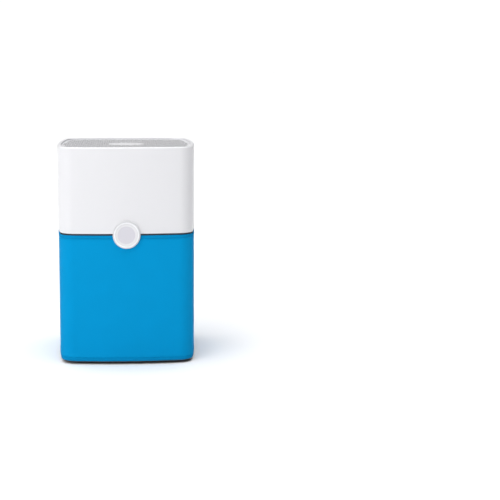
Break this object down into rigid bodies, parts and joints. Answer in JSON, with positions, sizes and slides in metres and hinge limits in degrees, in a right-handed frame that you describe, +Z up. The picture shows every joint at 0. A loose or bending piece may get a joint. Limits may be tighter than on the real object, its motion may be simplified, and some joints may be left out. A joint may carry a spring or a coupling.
{
  "type": "air purifier",
  "caption": "Free-standing tower air purifier with a bowed square plan, a white fan housing, a blue fabric pre-filter sleeve and a round front button.",
  "frame": {"origin": "on the floor, under the middle of the tower", "axes": "+Z up, -Y towards the front with the button, +X to the right seen from the front"},
  "size_m": [0.33, 0.3428, 0.514],
  "materials": {
    "white_plastic": "smooth satin to gloss",
    "blue_fabric": "fine knitted polyester",
    "blue_hem": "elastic hem",
    "charcoal_plastic": "fine grain",
    "grey_plastic": "matt",
    "netting": "extruded diamond net",
    "filter_media": "pleated fibre paper",
    "foam": "closed-cell foam",
    "foot_rubber": "matt",
    "steel": "zinc plated",
    "dark_steel": "blackened",
    "copper_winding": "enamelled wire",
    "circuit_board": "solder mask",
    "light_guide": "frosted translucent",
    "cable_jacket": "smooth"
  },
  "bodies": {
    "base": {"base_tray": "charcoal_plastic", "foot_front_left": "foot_rubber", "foot_front_right": "foot_rubber", "foot_rear_left": "foot_rubber", "foot_rear_right": "foot_rubber"},
    "sleeve": {"prefilter_sleeve": "blue_fabric", "sleeve_top_hem": "blue_hem", "sleeve_bottom_hem": "blue_hem"},
    "filter": {"filter_bottom_frame": "grey_plastic", "filter_base_plate": "grey_plastic", "filter_net": "netting", "filter_media": "filter_media", "filter_liner": "grey_plastic", "filter_top_frame": "white_plastic"},
    "fan_unit": {"upper_housing": "white_plastic", "top_grille": "white_plastic", "lower_deck": "charcoal_plastic", "seal_gasket": "foam", "inlet_guard": "charcoal_plastic", "fan_shroud": "charcoal_plastic", "deck_screw_1": "dark_steel", "deck_screw_2": "dark_steel", "deck_screw_3": "dark_steel", "deck_screw_4": "dark_steel", "shroud_screw_1": "dark_steel", "shroud_screw_2": "dark_steel", "shroud_screw_3": "dark_steel", "shroud_screw_4": "dark_steel", "motor_mount": "charcoal_plastic", "motor_lower_bell": "steel", "motor_upper_bell": "steel", "stator_core": "dark_steel", "stator_winding_lower": "copper_winding", "stator_winding_upper": "copper_winding", "bearing_lower": "steel", "bearing_upper": "steel", "motor_screw_1": "dark_steel", "motor_screw_2": "dark_steel", "motor_screw_3": "dark_steel", "control_board": "circuit_board", "board_screw_1": "dark_steel", "board_screw_2": "dark_steel", "tact_switch": "charcoal_plastic", "power_connector": "grey_plastic", "motor_connector": "grey_plastic", "terminal_block": "grey_plastic", "run_capacitor": "steel", "cord_gland": "charcoal_plastic", "gland_nut": "charcoal_plastic", "supply_lead": "cable_jacket", "motor_lead": "cable_jacket"},
    "rotor": {"motor_shaft": "steel", "rotor_core": "dark_steel", "fan_impeller": "charcoal_plastic", "impeller_nut": "steel", "spinner_cap": "charcoal_plastic"},
    "button": {"power_button": "white_plastic", "button_light_ring": "light_guide"},
    "lock_left": {"lock_left": "white_plastic"},
    "lock_right": {"lock_right": "white_plastic"}
  },
  "joints": [
    {"name": "sleeve_lift", "type": "slide", "parent": "base", "child": "sleeve", "axis": [0, 0, 1], "range_m": [0, 0.05]},
    {"name": "filter_draw", "type": "slide", "parent": "sleeve", "child": "filter", "axis": [0, 0, 1], "range_m": [0, 0.32]},
    {"name": "fan_unit_lift", "type": "slide", "parent": "filter", "child": "fan_unit", "axis": [0, 0, 1], "range_m": [0, 0.15]},
    {"name": "fan_spin", "type": "hinge", "parent": "fan_unit", "child": "rotor", "pos_m": [0, 0, 0.38], "axis": [0, 0, 1], "continuous": true},
    {"name": "button_press", "type": "slide", "parent": "fan_unit", "child": "button", "axis": [0, 1, 0], "range_m": [0, 0.0015], "stiffness_N_per_m": 1500},
    {"name": "lock_left_slide", "type": "slide", "parent": "fan_unit", "child": "lock_left", "axis": [0, 1, 0], "range_m": [0, 0.012]},
    {"name": "lock_right_slide", "type": "slide", "parent": "fan_unit", "child": "lock_right", "axis": [0, 1, 0], "range_m": [0, 0.012]}
  ]
}
